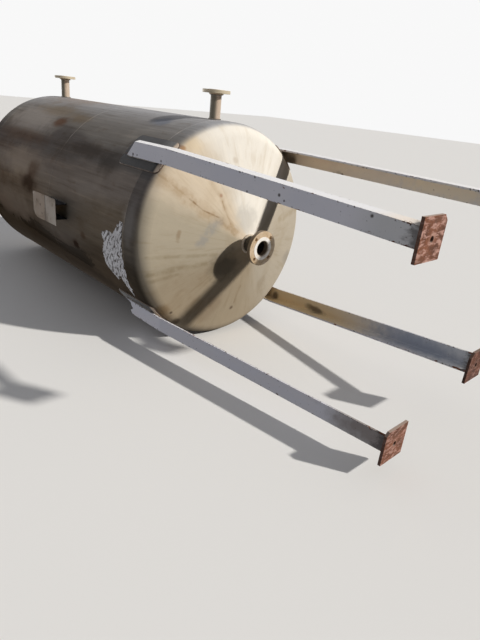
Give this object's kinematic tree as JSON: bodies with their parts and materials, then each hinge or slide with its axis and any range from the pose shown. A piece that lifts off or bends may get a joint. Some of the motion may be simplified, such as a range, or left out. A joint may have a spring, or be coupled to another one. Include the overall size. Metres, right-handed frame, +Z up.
{
  "type": "vertical storage tank",
  "caption": "Vertical stainless steel tank with shallow cone ends, bottom outlet, side nozzles and a nameplate, standing on braceless angle legs.",
  "frame": {"origin": "middle of the whole footprint's box, level with the undersides of the base plates; the tank's axis stands 75 mm towards -X and 41 mm towards +Y of it", "axes": "+Z up along the tank's axis; +X towards the two side nozzles; -Y towards the nameplate"},
  "size_m": [1.3732, 1.305, 3.888],
  "materials": {
    "shell": "weathered mill finish",
    "head": "stained mill finish",
    "weld": "as welded",
    "nozzle": "stained, machined face",
    "leg": "stained, rusty at the feet",
    "base": "rusted",
    "bracket": "weathered",
    "nameplate": "weathered, blank"
  },
  "bodies": {
    "root": {"lower_shell_course": "shell", "upper_shell_course": "shell", "bottom_head": "head", "top_head": "head", "bottom_head_weld": "weld", "girth_weld": "weld", "top_head_weld": "weld", "lower_seam_weld": "weld", "upper_seam_weld": "weld", "outlet_neck": "nozzle", "outlet_flange": "nozzle", "top_neck": "nozzle", "top_flange": "nozzle", "lower_side_neck": "nozzle", "lower_side_flange": "nozzle", "upper_side_neck": "nozzle", "upper_side_flange": "nozzle", "leg_pad_a": "shell", "leg_pad_b": "shell", "leg_pad_c": "shell", "leg_pad_d": "shell", "leg_a": "leg", "leg_b": "leg", "leg_c": "leg", "leg_d": "leg", "base_plate_a": "base", "base_plate_b": "base", "base_plate_c": "base", "base_plate_d": "base", "nameplate_bracket": "bracket", "nameplate": "nameplate"}
  },
  "joints": []
}
